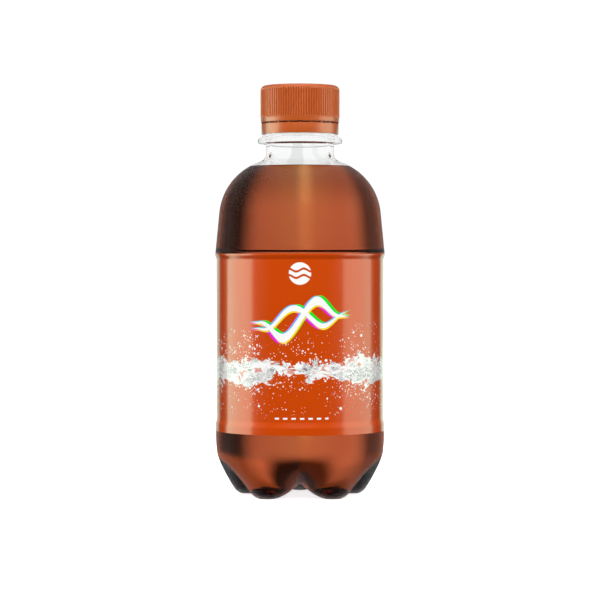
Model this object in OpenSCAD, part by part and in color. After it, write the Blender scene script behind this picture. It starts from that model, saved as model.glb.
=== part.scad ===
// Clear PET soda bottle, filled and unopened: petaloid base, 28 mm carbonated-drink neck finish,
// ribbed screw cap with a seal liner and a tamper-evident band, and a shrink sleeve label.
// Millimetres, +Z up. The origin is on the axis, in the plane that the five feet stand on.
// A valley of the base faces the front, -Y, and one foot stands at the back.

/* [Bottle body] */
// Height of the mouth above the feet
mouth_z = 157.6; // [157.2:0.1:158.4]
// Radius of the lip above the label panel, the widest place
lip_r = 32.9; // [32.7:0.05:33.2]
// Height of the middle of the lip
lip_z = 93.8; // [92:0.2:96]
// Radius of the recessed label panel
panel_r = 32.3; // [32:0.05:32.6]
// Radius of the ridge below the label panel
ridge_r = 32.76; // [32.65:0.01:32.9]
// Height of the top of that ridge
ridge_z = 28; // [26:0.5:32]
// Wall thickness of the blown body
wall = 0.4; // [0.35:0.05:0.6]

/* [Shoulder] */
// Radius of the shoulder arc
dome_r = 23.1; // [22.9:0.1:23.3]
// Distance from the axis to the centre of the shoulder arc
dome_centre_r = 8.4; // [8.2:0.1:8.6]
// Height of the centre of the shoulder arc
dome_centre_z = 107.6; // [107.2:0.1:108]
// Slope of the cone between the neck and the shoulder arc, in degrees
cone_slope = 22.7; // [20:0.1:26]
// Radius of the fillet below the neck
flare_r = 3; // [2:0.5:3.5]

/* [Base] */
// Height at which the base begins to curve in
base_top = 23; // [22:0.5:24]
// Radius of the arc down the outside of a foot
side_r = 39; // [38:0.5:42]
// Radius of the heel of a foot
heel_r = 5; // [4:0.5:5.5]
// Radius at which the underside of a foot begins to rise
foot_in_r = 20.5; // [19:0.5:21]
// Height of the centre of the base
pole_z = 6.2; // [5:0.2:7]
// Height at which the valleys turn in
valley_z = 17.5; // [16:0.5:19]
// Height sliced off each rounded foot to leave its flat pad
pad_cut = 0.35; // [0.25:0.05:0.4]
// Wall thickness in the feet
base_wall = 1.4; // [1.3:0.1:1.8]

/* [Neck finish] */
// Radius of the bore
bore_r = 10.87; // [10.8:0.01:10.95]
// Radius of the finish wall under the thread
finish_r = 12.47; // [12.4:0.01:12.55]
// Radius over the thread
thread_r = 13.71; // [13.6:0.01:13.75]
// Pitch of the thread
pitch = 3.18; // [3.1:0.01:3.2]
// Thread length in turns
thread_turns = 1.85; // [1.6:0.05:1.9]
// Radius of the bead that holds the tamper band
bead_r = 14; // [13.9:0.02:14.02]
// Radius of the support ring
ring_r = 16.4; // [16.2:0.1:16.6]
// Height of the underside of the support ring
ring_z = 136.6; // [136.5:0.1:136.8]
// Radius of the neck below the support ring
neck_r = 13.24; // [13:0.02:13.4]

/* [Cap] */
// Radius over the ribs
cap_r = 15.38; // [15.3:0.02:15.5]
// Depth of the grooves between the ribs
rib_depth = 0.32; // [0.2:0.02:0.4]
// Number of ribs
ribs = 96; // [72:12:120]
// Inside radius of the skirt
cap_in_r = 14.15; // [14.12:0.01:14.2]
// Thickness of the top plate
cap_top = 1; // [0.9:0.1:1.2]
// Radius of the rounded top edge
cap_edge_r = 2; // [1.6:0.1:2]
// Thickness of the seal liner
liner_t = 0.5; // [0.4:0.05:0.7]
// Clear height between the cap and the tamper band
slit_h = 0.6; // [0.5:0.05:0.7]
// Height of the lower edge of the cap skirt
skirt_z = 144.8; // [144.7:0.05:144.9]

/* [Tamper band] */
// Outer radius of the band
band_r = 15; // [14.9:0.02:15.1]
// Height of the lower edge of the band
band_z = 140.2; // [140.1:0.05:140.3]
// Number of fold-in retaining fingers
fingers = 12; // [8:1:14]
// Number of bridges between the band and the cap
bridges = 21; // [18:1:24]
// Width of a bridge
bridge_w = 0.5; // [0.4:0.05:0.7]

/* [Label and drink] */
// Height of the lower edge of the label
label_low_z = 25.2; // [24:0.2:27]
// Film thickness of the label
label_t = 0.12; // [0.1:0.01:0.2]
// Width of the lapped seam at the back of the label, in degrees
lap = 7; // [5:1:10]
// Height of the surface of the drink
fill_z = 127.7; // [120:0.1:128.4]

/* [Hidden] */
$fn = 96;

pet = [0.90, 0.93, 0.93, 0.35];
cola = [0.33, 0.12, 0.05];
orange = [0.80, 0.31, 0.05];
cap_orange = [0.75, 0.33, 0.13];
liner_white = [0.93, 0.92, 0.88];

feet = 5;                             // number of feet
front = -90;                          // direction of the front valley
columns = 80;                         // facets round the base
seam = 0.05;                          // inset of the base where it enters the body wall
seam_h = 0.5;                         // height by which it enters the wall
drink_gap = 0.1;                      // space between the drink and the body wall
base_drink_gap = 0.2;                 // space between the drink and the base
valley_floor = 0.03;                  // rounds the bottom of each valley
under_n = 7;                          // rows under a foot
heel_n = 4;                           // rows round a heel
side_n = 8;                           // rows up the side of a foot
step_n = 6;                           // segments of each step beside the label panel
lip_h = 1.2;                          // height of the lip's straight land
step_h = 1.5;                         // height of the step from the lip to the panel

thread_low_z = mouth_z - 8.6;         // middle of the thread at its lower end
thread_root_w = 2;                    // thread width at the finish wall
thread_crest_w = 1.1;                 // thread width at its crest
cap_thread_r = 13;                    // inner radius of the cap's thread
cap_thread_root_w = 1.5;
cap_thread_crest_w = 0.7;
cap_thread_drop = 1.27;               // the cap's thread lies this far under the bottle's
cap_thread_turns = 1.6;
embed = 0.3;                          // depth that a thread reaches into its wall
vent_slots = 4;                       // gas vents across the bottle's thread in each turn
cap_vent_slots = 8;                   // and across the cap's thread
vent_angle = 14;                      // width of a bottle vent, in degrees
cap_vent_angle = 9;
waist_r = 12.6;                       // finish radius between the bead and the support ring
mouth_edge = 0.4;                     // chamfer of the mouth's edges
finish_h = 9.8;                       // height of the straight wall that carries the thread
bead_top_z = mouth_z - 10.6;          // top of the bead, where its upper cone begins
bead_cone_h = 1.4;                    // height of that cone
bead_land_h = 0.7;                    // height of the bead's straight land
bead_under_h = 0.6;                   // height of the cone under the land
ring_land_z = ring_z + 0.5;           // lower end of the support ring's straight edge
ring_land_h = 1;                      // height of that edge
ring_top_z = ring_z + 3.65;           // where the cone above the ring meets the waist

cap_top_z = mouth_z + liner_t + cap_top;
rib_low_z = skirt_z + 1.7;
rib_top_z = cap_top_z - 1.3;
plain_r = cap_r - 0.1;                // the smooth ring below the ribs
liner_r = 13.3;
band_top_z = skirt_z - slit_h;
bridge_t = 0.45;                      // thickness of a bridge
rib_root_half = 0.42;                 // half the width of a rib at its root, as a share of its step
rib_crest_half = 0.22;                // and at its crest
finger_tip_r = 12.85;                 // radius of the tips of the fold-in fingers
finger_share = 2 / 3;                 // part of the circle that the fingers take up

// Points along an arc about [cr, cz], from angle a0 to a1.
function arc(cr, cz, r, a0, a1, n) =
    [for (i = [0:n]) let (a = a0 + (a1 - a0) * i / n) [cr + r * cos(a), cz + r * sin(a)]];

// A smooth step between two radii, from z0 to z1.
function smooth_step(r0, z0, r1, z1, n) =
    [for (i = [0:n]) let (s = i / n) [r0 + (r1 - r0) * (1 - cos(180 * s)) / 2, z0 + (z1 - z0) * s]];

// Outline of the body from the lip down to the base, with the label panel between its ridges.
panel_outline = concat(
    [[lip_r, lip_z + lip_h / 2]],
    smooth_step(lip_r, lip_z - lip_h / 2, panel_r, lip_z - lip_h / 2 - step_h, step_n),
    smooth_step(panel_r, ridge_z + 2, ridge_r, ridge_z, step_n),
    [[ridge_r, base_top]]);

dome_low_angle = 6;
dome_outline = arc(dome_centre_r, dome_centre_z, dome_r, 90 - cone_slope, dome_low_angle, 24);

// Outside of the finish, from the mouth down to the neck.
finish_outline = concat(
    [[bore_r + mouth_edge, mouth_z], [finish_r - mouth_edge, mouth_z]],
    [[finish_r, mouth_z - mouth_edge], [finish_r, mouth_z - finish_h], [waist_r, bead_top_z]],
    [[bead_r, bead_top_z - bead_cone_h], [bead_r, bead_top_z - bead_cone_h - bead_land_h]],
    [[waist_r, bead_top_z - bead_cone_h - bead_land_h - bead_under_h]],
    [[waist_r, ring_top_z + 0.15], [waist_r + 1, ring_top_z]],
    [[ring_r - 0.15, ring_land_z + ring_land_h + 0.25], [ring_r, ring_land_z + ring_land_h]],
    [[ring_r, ring_land_z], [ring_r - 0.2, ring_z + 0.2], [neck_r + 0.6, ring_z], [neck_r, ring_z - 0.6]]);

neck_low_z = 132.6;                   // lower end of the straight neck
flare_outline = arc(neck_r + flare_r, neck_low_z, flare_r, 180, 270 - cone_slope, 8);

// Inside of the neck: a wide fillet that meets the bore and the shoulder's inner cone.
bore_fillet_r = 6;                    // fillet between the bore and the shoulder
cone_in = [dome_centre_r, dome_centre_z] + (dome_r - wall) * [sin(cone_slope), cos(cone_slope)];
bore_fillet_z = cone_in[1] + (bore_fillet_r
    - (bore_r + bore_fillet_r - cone_in[0]) * sin(cone_slope)) / cos(cone_slope);

// Inside of the bottle from the mouth down to the base, drawn in by gap.
function inner_outline(gap) = concat(
    [[bore_r - gap, mouth_z - mouth_edge]],
    arc(bore_r + bore_fillet_r, bore_fillet_z, bore_fillet_r + gap, 180, 270 - cone_slope, 10),
    arc(dome_centre_r, dome_centre_z, dome_r - wall - gap, 90 - cone_slope, dome_low_angle, 24),
    [for (p = panel_outline) [p[0] - wall - gap, p[1]]]);

function reversed(list) = [for (i = [len(list) - 1:-1:0]) list[i]];

// ---- Petaloid base ----

base_r = ridge_r - seam;
heel_z = heel_r - pad_cut;
side_centre_r = base_r - side_r;
heel_centre_r = side_centre_r + sqrt(pow(side_r - heel_r, 2) - pow(base_top - heel_z, 2));
heel_angle = -acos((heel_centre_r - side_centre_r) / (side_r - heel_r));

// Outline through the middle of a foot, from near the centre of the base to its top.
foot_outline = concat(
    [for (i = [1:under_n]) let (s = i / under_n)
        [foot_in_r * s, (pole_z + pad_cut) * (1 + cos(180 * s)) / 2 - pad_cut]],
    arc(heel_centre_r, heel_z, heel_r, -90, heel_angle, heel_n),
    [for (i = [1:side_n]) let (a = heel_angle * (1 - i / side_n))
        [side_centre_r + side_r * cos(a), base_top + side_r * sin(a)]]);

// Share of the foot outline in direction a: 1 on a foot, near 0 in a valley. The feet are broad
// at their sides, where down is 0, and narrow underneath, where down is 45 degrees or more.
function foot_share(a, down) =
    pow(valley_floor + (1 - valley_floor) * pow(sin(feet * (a - front) / 2), 2),
        0.25 + 0.25 * pow(min(1, down / 45), 2));

// Distance from the point at valley_z on the axis to the valley surface, at angle down from level.
function valley_reach(down) =
    1 / sqrt(pow(cos(down) / base_r, 2) + pow(sin(down) / (valley_z - pole_z), 2));

// One point of the base: below valley_z it is blended along rays, above it by radius.
function base_point(p, a, inset) = p[1] < valley_z
    ? let (down = atan2(valley_z - p[1], p[0]), foot_reach = norm([p[0], valley_z - p[1]]),
           share = foot_share(a, down),
           reach = share * foot_reach + (1 - share) * valley_reach(down) - inset)
        [reach * cos(down) * cos(a), reach * cos(down) * sin(a), valley_z - reach * sin(down)]
    : let (share = foot_share(a, 0), r = share * p[0] + (1 - share) * base_r - inset)
        [r * cos(a), r * sin(a), p[1]];

// Wall of the base at height z on a foot: thick in the feet, as thin as the body at the top.
function base_inset(z) = wall - 2 * seam + (base_wall - wall) * (1 - max(0, z) / base_top);

// Rings of base points, each ring drawn in by its wall times thick, plus extra.
function base_rings(thick, extra) = [for (p = foot_outline)
    [for (j = [0:columns - 1]) base_point(p, front + 360 * j / columns, thick * base_inset(p[1]) + extra)]];

function raised(ring, h) = [for (p = ring) p + [0, 0, h]];
function flat(rings) = [for (ring = rings) for (p = ring) p];

// Faces of a stack of rings, outward when flip is false, closed by a fan at its pole.
function ring_faces(rows, start, pole, flip) = concat(
    [for (i = [0:rows - 2]) for (j = [0:columns - 1])
        let (a = start + i * columns + j, b = start + i * columns + (j + 1) % columns)
            each flip ? [[a, b + columns, a + columns], [a, b, b + columns]]
                      : [[a, a + columns, b + columns], [a, b + columns, b]]],
    [for (j = [0:columns - 1]) let (a = start + j, b = start + (j + 1) % columns)
        flip ? [pole, b, a] : [pole, a, b]]);

rows = len(foot_outline) + 1;

module base_cup() {
    outside = base_rings(0, 0);
    inside = base_rings(1, 0);
    last = rows - 2;
    ring_points = concat(flat(outside), raised(outside[last], seam_h),
                         flat(inside), raised(inside[last], seam_h));
    inner_start = rows * columns;
    pole = 2 * inner_start;
    rim_out = inner_start - columns;
    rim_in = pole - columns;
    polyhedron(
        points = concat(ring_points, [[0, 0, pole_z], [0, 0, pole_z + base_inset(pole_z)]]),
        faces = concat(
            ring_faces(rows, 0, pole, false),
            ring_faces(rows, inner_start, pole + 1, true),
            [for (j = [0:columns - 1]) let (k = (j + 1) % columns)
                [rim_out + j, rim_in + j, rim_in + k, rim_out + k]]));
}

module base_fill() {
    rings = base_rings(1, base_drink_gap);
    last = rows - 2;
    top = [for (j = [0:columns - 1]) (rows - 1) * columns + j];
    polyhedron(
        points = concat(flat(rings), raised(rings[last], seam_h),
                        [[0, 0, pole_z + base_inset(pole_z) + base_drink_gap]]),
        faces = concat(ring_faces(rows, 0, rows * columns, false), [reversed(top)]));
}

// ---- Threads ----

// One length of helical thread between two angles. Its section is a trapezium between r_in and
// r_out, and root_out says which of them lies in the wall. The crest runs out at both ends.
module thread_length(a0, a1, z0, r_in, w_in, r_out, w_out, root_out) {
    n = ceil((a1 - a0) / 9);
    run_out = 0.12;
    sections = [for (i = [0:n])
        let (s = i / n, a = a0 + (a1 - a0) * s, z = z0 + pitch * a / 360,
             f = min(1, 0.08 + min(s, 1 - s) / run_out),
             r0 = root_out ? r_out + (r_in - r_out) * f : r_in,
             r1 = root_out ? r_out : r_in + (r_out - r_in) * f)
        each [[r0 * cos(a), r0 * sin(a), z - w_in / 2], [r1 * cos(a), r1 * sin(a), z - w_out / 2],
              [r1 * cos(a), r1 * sin(a), z + w_out / 2], [r0 * cos(a), r0 * sin(a), z + w_in / 2]]];
    polyhedron(points = sections, faces = concat(
        [[3, 2, 1, 0]],
        [for (i = [0:n - 1]) for (e = [0:3])
            let (a = 4 * i + e, b = 4 * i + (e + 1) % 4)
            each [[a, b, b + 4], [a, b + 4, a + 4]]],
        [[4 * n, 4 * n + 1, 4 * n + 2, 4 * n + 3]]));
}

// A thread cut into lengths by its vents.
module vented_thread(turns, slots, gap, z0, r_in, w_in, r_out, w_out, root_out) {
    period = 360 / slots;
    for (i = [0:floor(turns * slots) - 1])
        thread_length(i * period, (i + 1) * period - gap, z0, r_in, w_in, r_out, w_out, root_out);
}

// ---- Nodes ----

module bottle() {
    color(pet) difference() {
        union() {
            rotate_extrude() polygon(concat(
                finish_outline, flare_outline, dome_outline, panel_outline,
                reversed(inner_outline(0))));
            base_cup();
            vented_thread(thread_turns, vent_slots, vent_angle, thread_low_z,
                finish_r - embed, thread_root_w, thread_r, thread_crest_w, false);
        }
        translate([-lip_r, -lip_r, -base_top]) cube([2 * lip_r, 2 * lip_r, base_top]);
    }
}

module drink() {
    color(cola) union() {
        intersection() {
            rotate_extrude() polygon(concat(
                [[0, base_top], [0, mouth_z - mouth_edge]], inner_outline(drink_gap)));
            cylinder(r = lip_r, h = fill_z);
        }
        base_fill();
    }
}

// Film that lies on the body between layer and layer + 1 thicknesses, from the label's lower edge
// up to the middle of the lip.
label_line = concat(
    [[lip_r, lip_z]],
    [for (p = panel_outline) if (p[1] > label_low_z && p[1] < lip_z) p],
    [[ridge_r, label_low_z]]);
module film(layer) {
    polygon(concat([for (p = label_line) p + [layer * label_t, 0]],
                   reversed([for (p = label_line) p + [(layer + 1) * label_t, 0]])));
}
module label_sleeve() {
    color(orange) union() {
        rotate_extrude() film(0);
        rotate([0, 0, -front - lap / 2]) rotate_extrude(angle = lap) film(1);
    }
}

// Outline of the ribbed zone, one trapezium for each rib.
module rib_section() {
    polygon([for (i = [0:ribs - 1]) let (a = 360 * i / ribs, step = 360 / ribs)
        each [for (q = [[-rib_root_half, 0], [-rib_crest_half, 1], [rib_crest_half, 1], [rib_root_half, 0]])
            (cap_r - rib_depth * (1 - q[1])) * [cos(a + q[0] * step), sin(a + q[0] * step)]]]);
}
module cap_shell() {
    color(cap_orange) union() {
        difference() {
            intersection() {
                union() {
                    cylinder(r = cap_r - rib_depth, h = cap_top_z);
                    cylinder(r = plain_r, h = rib_low_z);
                    translate([0, 0, rib_low_z]) linear_extrude(rib_top_z - rib_low_z) rib_section();
                }
                rotate_extrude() polygon(concat(
                    [[0, skirt_z], [cap_r + 1, skirt_z], [cap_r + 1, rib_low_z], [cap_r, rib_low_z]],
                    arc(cap_r - cap_edge_r, cap_top_z - cap_edge_r, cap_edge_r, 0, 90, 8),
                    [[0, cap_top_z]]));
            }
            cylinder(r = cap_in_r, h = mouth_z + liner_t);
        }
        vented_thread(cap_thread_turns, cap_vent_slots, cap_vent_angle, thread_low_z - cap_thread_drop,
            cap_thread_r, cap_thread_crest_w, cap_in_r + embed, cap_thread_root_w, true);
    }
}

module cap_liner() {
    color(liner_white) translate([0, 0, mouth_z]) cylinder(r = liner_r, h = liner_t);
}

// Section of a retaining finger, folded up and in from the lower edge of the band.
finger_outline = [
    [cap_in_r + 0.2, band_z + 0.3], [cap_in_r + 0.2, band_z + 1.2], [cap_in_r - 0.2, band_z + 1.4],
    [finger_tip_r + 0.35, band_z + 3.4], [finger_tip_r, band_z + 3.3], [cap_in_r - 0.45, band_z + 0.6]];
module tamper_band() {
    color(cap_orange) union() {
        difference() {
            translate([0, 0, band_z]) cylinder(r = band_r, h = band_top_z - band_z);
            cylinder(r = cap_in_r, h = mouth_z);
        }
        for (i = [0:fingers - 1])
            rotate([0, 0, 360 * i / fingers]) rotate_extrude(angle = 360 * finger_share / fingers)
                polygon(finger_outline);
    }
}

module tamper_bridges() {
    color(cap_orange) for (i = [0:bridges - 1])
        rotate([0, 0, front + 360 * i / bridges])
            translate([band_r - bridge_t, -bridge_w / 2, band_top_z])
                cube([bridge_t - 0.02, bridge_w, slit_h]);
}

bottle();
drink();
label_sleeve();
cap_shell();
cap_liner();
tamper_band();
tamper_bridges();
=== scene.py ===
"""A clear PET soda bottle, filled and unopened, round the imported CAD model.

Lengths in this script are millimetres until a mesh is made; angles are degrees. The bottle's axis
is Z, and -Y is its front.
"""
import math

import bpy
import numpy as np
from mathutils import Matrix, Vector


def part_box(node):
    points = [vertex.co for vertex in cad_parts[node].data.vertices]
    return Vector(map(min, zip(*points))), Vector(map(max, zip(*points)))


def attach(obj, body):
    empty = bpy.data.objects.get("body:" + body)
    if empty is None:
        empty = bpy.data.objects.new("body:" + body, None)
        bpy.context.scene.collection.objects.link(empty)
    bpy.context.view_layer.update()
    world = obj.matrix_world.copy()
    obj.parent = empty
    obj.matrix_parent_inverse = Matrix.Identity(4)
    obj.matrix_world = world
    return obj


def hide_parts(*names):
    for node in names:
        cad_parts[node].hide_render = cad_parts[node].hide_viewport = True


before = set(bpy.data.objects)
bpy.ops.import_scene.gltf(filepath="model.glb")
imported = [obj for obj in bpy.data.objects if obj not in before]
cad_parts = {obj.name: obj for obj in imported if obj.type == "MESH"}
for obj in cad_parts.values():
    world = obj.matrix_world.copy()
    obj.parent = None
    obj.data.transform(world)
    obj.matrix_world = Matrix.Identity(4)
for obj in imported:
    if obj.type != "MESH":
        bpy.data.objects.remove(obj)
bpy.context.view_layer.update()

MM = 0.001
FRONT = -90.0

# ---------------------------------------------------------------- sizes from the frame


def node_box(node):
    """Lowest and highest corner of a CAD node, in millimetres."""
    low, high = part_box(node)
    return np.array(low) / MM, np.array(high) / MM


MOUTH_Z = node_box("bottle")[1][2]
LIP_R = node_box("bottle")[1][0]
FILL_Z = node_box("drink")[1][2]
LABEL_LOW_Z, LABEL_TOP_Z = node_box("label_sleeve")[0][2], node_box("label_sleeve")[1][2]
LABEL_T = node_box("label_sleeve")[1][0] - LIP_R
CAP_R, CAP_TOP_Z = node_box("cap_shell")[1][0], node_box("cap_shell")[1][2]
SKIRT_Z = node_box("cap_shell")[0][2]
BAND_R, BAND_TOP_Z = node_box("tamper_band")[1][0], node_box("tamper_band")[1][2]
BAND_Z = node_box("tamper_band")[0][2]
LINER_R, LINER_TOP_Z = node_box("cap_liner")[1][0], node_box("cap_liner")[1][2]

# ---------------------------------------------------------------- sizes of the design

WALL, BASE_WALL = 0.4, 1.4
PANEL_R, RIDGE_R, RIDGE_Z, LIP_Z = 32.3, 32.76, 28.0, 93.8
DOME_R, DOME_CENTRE_R, DOME_CENTRE_Z = 23.1, 8.4, 107.6
CONE_SLOPE, DOME_LOW_ANGLE, FLARE_R, NECK_LOW_Z = 22.7, 6.0, 3.0, 132.6
FEET, BASE_TOP, SIDE_R, HEEL_R, FOOT_IN_R = 5, 23.0, 39.0, 5.0, 20.5
POLE_Z, VALLEY_Z, PAD_CUT, VALLEY_FLOOR = 6.2, 17.5, 0.35, 0.03
BORE_R, FINISH_R, THREAD_R, WAIST_R, BEAD_R = 10.87, 12.47, 13.71, 12.6, 14.0
RING_R, RING_Z, NECK_R, BORE_FILLET_R = 16.4, 136.6, 13.24, 6.0
PITCH, THREAD_TURNS, CAP_THREAD_TURNS, CAP_THREAD_DROP = 3.18, 1.85, 1.6, 1.27
CAP_IN_R, CAP_THREAD_R, RIBS, BRIDGES, FINGERS = 14.15, 13.0, 96, 21, 12
RIB_DEPTH = 0.45  # deeper than the 0.32 of the CAD, so that the ribs show at this size

# Each thread: slots in a turn, degrees of gap at a slot, and its width at the root and the crest.
BOTTLE_THREAD, CAP_THREAD = (4, 14, 2.1, 0.8), (8, 9, 1.6, 0.5)
THREAD_START_Z = MOUTH_Z - 8.6
RUN_OUT, VENT_EASE = 12.0, 4  # degrees over which the thread fades out at its ends and at a slot

# ---------------------------------------------------------------- outlines, as (radius, height)


def arc(centre_r, centre_z, radius, start, end, steps):
    """Points along an arc between two angles."""
    angles = np.radians(np.linspace(start, end, steps + 1))
    return [(centre_r + radius * math.cos(a), centre_z + radius * math.sin(a)) for a in angles]


def line(start, end, steps):
    """Points along a straight line, both ends included."""
    return [tuple(p) for p in np.linspace(start, end, steps + 1)]


def rounded(corners, steps=4):
    """An outline through (r, z, fillet radius) corners, with each fillet drawn as an arc."""
    points = []
    for i, (r, z, radius) in enumerate(corners):
        here = np.array((r, z))
        if radius == 0 or i in (0, len(corners) - 1):
            points.append((r, z))
            continue
        before = np.array(corners[i - 1][:2]) - here
        after = np.array(corners[i + 1][:2]) - here
        before, after = before / np.linalg.norm(before), after / np.linalg.norm(after)
        half = math.acos(max(-1.0, min(1.0, float(before @ after)))) / 2
        if half > math.radians(89.5):
            points.append((r, z))
            continue
        reach = radius / math.tan(half)
        middle = (before + after) / np.linalg.norm(before + after)
        centre = here + middle * radius / math.sin(half)
        first, last = here + before * reach - centre, here + after * reach - centre
        sweep = math.pi - 2 * half
        for k in range(steps + 1):
            t = k / steps
            way = (math.sin((1 - t) * sweep) * first + math.sin(t * sweep) * last) / math.sin(sweep)
            points.append(tuple(centre + way))
    return points


def dense(points, step):
    """The same outline with no stretch longer than step."""
    out = [points[0]]
    for a, b in zip(points, points[1:]):
        n = max(1, math.ceil(math.dist(a, b) / step))
        out += [tuple(np.array(a) + (np.array(b) - np.array(a)) * k / n) for k in range(1, n + 1)]
    return out


LIP_LAND = 0.6  # half the height of the lip's straight land
STEP_H = 1.5  # height of the slope between panel and lip
dome_low = arc(DOME_CENTRE_R, DOME_CENTRE_Z, DOME_R, DOME_LOW_ANGLE, DOME_LOW_ANGLE + 1, 1)[0]
BODY_LINE = rounded([
    (RIDGE_R, BASE_TOP, 0), (RIDGE_R, RIDGE_Z, 1.4), (PANEL_R, RIDGE_Z + 2, 1.4),
    (PANEL_R, LIP_Z - LIP_LAND - STEP_H, 1.0), (LIP_R, LIP_Z - LIP_LAND, 0.8),
    (LIP_R, LIP_Z + LIP_LAND, 0.6), (dome_low[0], dome_low[1], 0)], steps=6)
SHOULDER_LINE = arc(DOME_CENTRE_R, DOME_CENTRE_Z, DOME_R, DOME_LOW_ANGLE, 90 - CONE_SLOPE, 36)
FLARE_LINE = arc(NECK_R + FLARE_R, NECK_LOW_Z, FLARE_R, 270 - CONE_SLOPE, 180, 10)
BEAD_TOP_Z = MOUTH_Z - 10.6
THREAD_ZONE = (MOUTH_Z - 10.2, MOUTH_Z - 1.2)  # the heights between which the thread lies
NECK_LINE = rounded([
    (NECK_R, NECK_LOW_Z + 0.5, 0), (NECK_R, RING_Z - 0.3, 0.5), (RING_R, RING_Z + 0.1, 0.35),
    (RING_R, RING_Z + 1.65, 0.35), (WAIST_R + 1, RING_Z + 3.65, 0.4), (WAIST_R, RING_Z + 3.8, 0.15),
    (WAIST_R, BEAD_TOP_Z - 2.7, 0.2), (BEAD_R, BEAD_TOP_Z - 2.1, 0.2),
    (BEAD_R, BEAD_TOP_Z - 1.4, 0.3), (FINISH_R, BEAD_TOP_Z, 0.3), (FINISH_R, THREAD_ZONE[0], 0)])
MOUTH_LINE = rounded([
    (FINISH_R, THREAD_ZONE[1] + 0.1, 0), (FINISH_R, MOUTH_Z, 0.5), (BORE_R, MOUTH_Z, 0.4),
    (BORE_R, MOUTH_Z - 2, 0)])


def bore_line(gap):
    """Inside of the bottle from the bore down to the top of the base, drawn in by gap."""
    slope = math.radians(CONE_SLOPE)
    radius = DOME_R - WALL - gap
    cone = (DOME_CENTRE_R + radius * math.sin(slope), DOME_CENTRE_Z + radius * math.cos(slope))
    fillet = BORE_FILLET_R + gap
    centre_r = BORE_R + BORE_FILLET_R
    centre_z = cone[1] + (fillet - (centre_r - cone[0]) * math.sin(slope)) / math.cos(slope)
    body = [(r - WALL - gap, z) for r, z in reversed(BODY_LINE)]
    return (arc(centre_r, centre_z, fillet, 180, 270 - CONE_SLOPE, 12)
            + arc(DOME_CENTRE_R, DOME_CENTRE_Z, radius, 90 - CONE_SLOPE, DOME_LOW_ANGLE, 36)
            + body[1:])


# ---------------------------------------------------------------- rings of points


def revolve(outline, columns):
    """An outline turned into rings: an array of rows by columns by 3."""
    r, z = np.array(outline).T
    a = np.radians(FRONT + 360 * np.arange(columns) / columns)
    return np.stack([r[:, None] * np.cos(a), r[:, None] * np.sin(a),
                     np.broadcast_to(z[:, None], (len(r), columns))], axis=2)


def polar(rings):
    """Radius, angle in degrees and height of every point."""
    return (np.hypot(rings[..., 0], rings[..., 1]),
            np.degrees(np.arctan2(rings[..., 1], rings[..., 0])) % 360, rings[..., 2])


def with_radius(rings, radius):
    """The same rings, with each point moved out or in to a new radius."""
    old = np.maximum(polar(rings)[0], 1e-9)
    return rings * np.stack([radius / old, radius / old, np.ones_like(old)], axis=2)


def eased(x, low, high):
    """0 below low, 1 above high, and a smooth rise between."""
    t = np.clip((x - low) / (high - low), 0, 1)
    return t * t * (3 - 2 * t)


# The petaloid base: the outline of a foot is blended with that of a valley round the bottle.
BASE_R = RIDGE_R
HEEL_Z = HEEL_R - PAD_CUT
SIDE_CENTRE_R = BASE_R - SIDE_R
HEEL_CENTRE_R = SIDE_CENTRE_R + math.sqrt((SIDE_R - HEEL_R) ** 2 - (BASE_TOP - HEEL_Z) ** 2)
HEEL_ANGLE = -math.degrees(math.acos((HEEL_CENTRE_R - SIDE_CENTRE_R) / (SIDE_R - HEEL_R)))
UNDER_STEPS = 20
FOOT_LINE = (
    [(FOOT_IN_R * s, (POLE_Z + PAD_CUT) * (1 + math.cos(math.pi * s)) / 2 - PAD_CUT)
     for s in np.linspace(1 / UNDER_STEPS, 1, UNDER_STEPS)]
    + arc(HEEL_CENTRE_R, HEEL_Z, HEEL_R, -90, HEEL_ANGLE, 9)
    + arc(SIDE_CENTRE_R, BASE_TOP, SIDE_R, HEEL_ANGLE, 0, 16)[1:])


def base_rings(columns, thick, extra=0.0):
    """Rings of the base from its centre outwards, drawn in by thick times its wall plus extra."""
    r, z = np.array(FOOT_LINE).T
    r, z = r[:, None], z[:, None]
    a = np.radians(FRONT + 360 * np.arange(columns) / columns)
    down = np.arctan2(VALLEY_Z - z, r)
    lean = np.clip(np.degrees(down) / 45, 0, 1)
    wave = VALLEY_FLOOR + (1 - VALLEY_FLOOR) * np.sin(FEET * (a - math.radians(FRONT)) / 2) ** 2
    share = wave ** (0.25 + 0.25 * lean ** 2)
    inset = thick * (WALL + (BASE_WALL - WALL) * (1 - np.maximum(0, z) / BASE_TOP)) + extra
    valley = 1 / np.sqrt((np.cos(down) / BASE_R) ** 2 + (np.sin(down) / (VALLEY_Z - POLE_Z)) ** 2)
    reach = share * np.hypot(r, VALLEY_Z - z) + (1 - share) * valley - inset
    low = z < VALLEY_Z
    radius = np.where(low, reach * np.cos(down), share * r + (1 - share) * BASE_R - inset)
    height = np.where(low, VALLEY_Z - reach * np.sin(down), z + 0 * a)
    return np.stack([radius * np.cos(a), radius * np.sin(a), height], axis=2)


def thread_height(a, z, low_z, turns, slots, gap, root_w, crest_w):
    """Height of a vented helical thread, from 0 to 1, at angle a and height z on its cylinder."""
    height = np.zeros(np.broadcast(a, z).shape)
    for turn in range(math.ceil(turns) + 1):
        t = a + 360 * turn
        across = np.abs(z - low_z - PITCH * t / 360)
        flank = 1 - eased(across, crest_w / 2, root_w / 2)
        ends = eased(t, 0, RUN_OUT) * (1 - eased(t, 360 * turns - RUN_OUT, 360 * turns))
        period = 360 / slots
        within = t % period
        vent = eased(within, 0, VENT_EASE) * (
            1 - eased(within, period - gap - VENT_EASE, period - gap))
        height = np.maximum(height, flank * ends * vent)
    return height


# ---------------------------------------------------------------- meshes


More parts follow.
